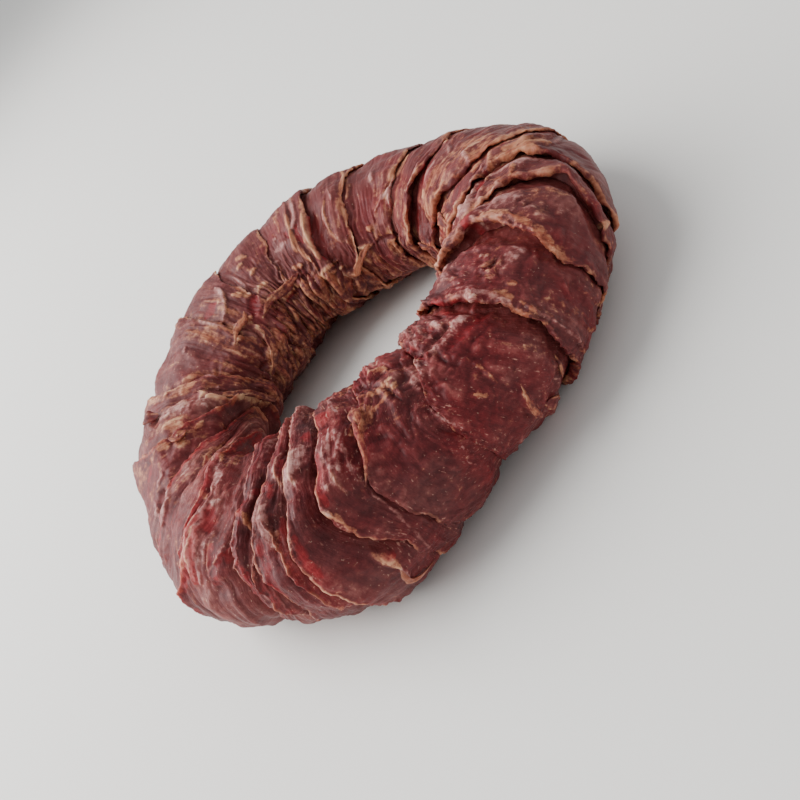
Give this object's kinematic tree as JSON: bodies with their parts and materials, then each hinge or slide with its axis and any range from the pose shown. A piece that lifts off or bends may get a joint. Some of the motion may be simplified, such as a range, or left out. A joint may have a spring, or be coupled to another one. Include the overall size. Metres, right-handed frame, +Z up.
{
  "type": "dog treat",
  "caption": "Ring-shaped dog treat of dark dried duck slices wound round a chewy core, with a hole through the middle.",
  "frame": {"origin": "centre of the bounding box's bottom face, on the surface that the ring lies on, under the middle of the hole", "axes": "+Z up through the hole (the shortest side), +X along the ring's longest width, +Y away from the side that faced the camera"},
  "size_m": [0.1202, 0.1182, 0.0319],
  "materials": {
    "lean_duck": "dried lean meat, dark red-brown, slightly moist sheen",
    "fatty_duck": "dried meat with tan fat and sinew, mostly matt"
  },
  "bodies": {
    "root": {"wrap_01": "lean_duck", "wrap_02": "lean_duck", "wrap_03": "lean_duck", "wrap_04": "lean_duck", "wrap_05": "lean_duck", "wrap_06": "lean_duck", "wrap_07": "lean_duck", "wrap_08": "lean_duck", "wrap_09": "lean_duck", "wrap_10": "lean_duck", "wrap_11": "lean_duck", "wrap_12": "lean_duck", "wrap_13": "lean_duck", "wrap_14": "fatty_duck", "wrap_15": "fatty_duck", "wrap_16": "fatty_duck", "wrap_17": "fatty_duck", "wrap_18": "fatty_duck", "wrap_19": "fatty_duck", "wrap_20": "fatty_duck", "wrap_21": "fatty_duck", "wrap_22": "fatty_duck"}
  },
  "joints": []
}
